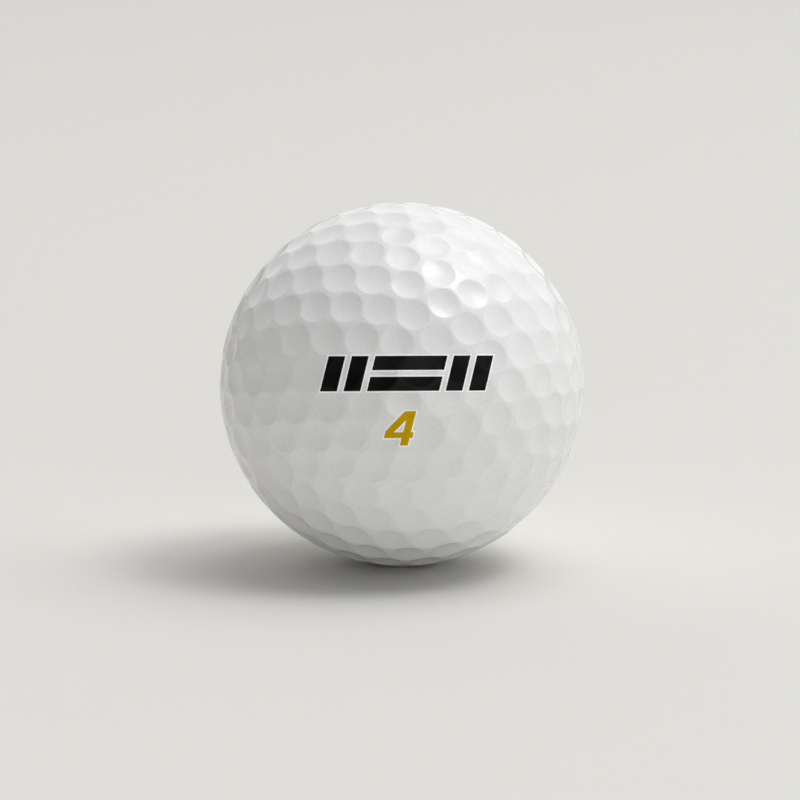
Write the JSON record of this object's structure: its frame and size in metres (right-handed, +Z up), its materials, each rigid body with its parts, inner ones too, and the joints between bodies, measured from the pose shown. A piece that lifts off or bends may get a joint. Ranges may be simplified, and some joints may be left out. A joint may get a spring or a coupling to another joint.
{
  "type": "golf ball",
  "caption": "White dimpled golf ball for driving, chipping and putting, with a slanted black alignment mark and a gold play number.",
  "frame": {"origin": "centre of the ball", "axes": "+Z up; the printed stamp faces -Y and is lifted 10 degrees; +X to the right as the stamp is read"},
  "size_m": [0.0426, 0.0427, 0.0426],
  "materials": {
    "core_rubber": "matte",
    "cover_white": "satin",
    "ink_white": "satin",
    "ink_black": "satin",
    "ink_gold": "satin"
  },
  "bodies": {
    "root": {"core": "core_rubber", "cover": "cover_white", "mark_keyline": "ink_white", "mark": "ink_black", "number_keyline": "ink_white", "number": "ink_gold"}
  },
  "joints": []
}
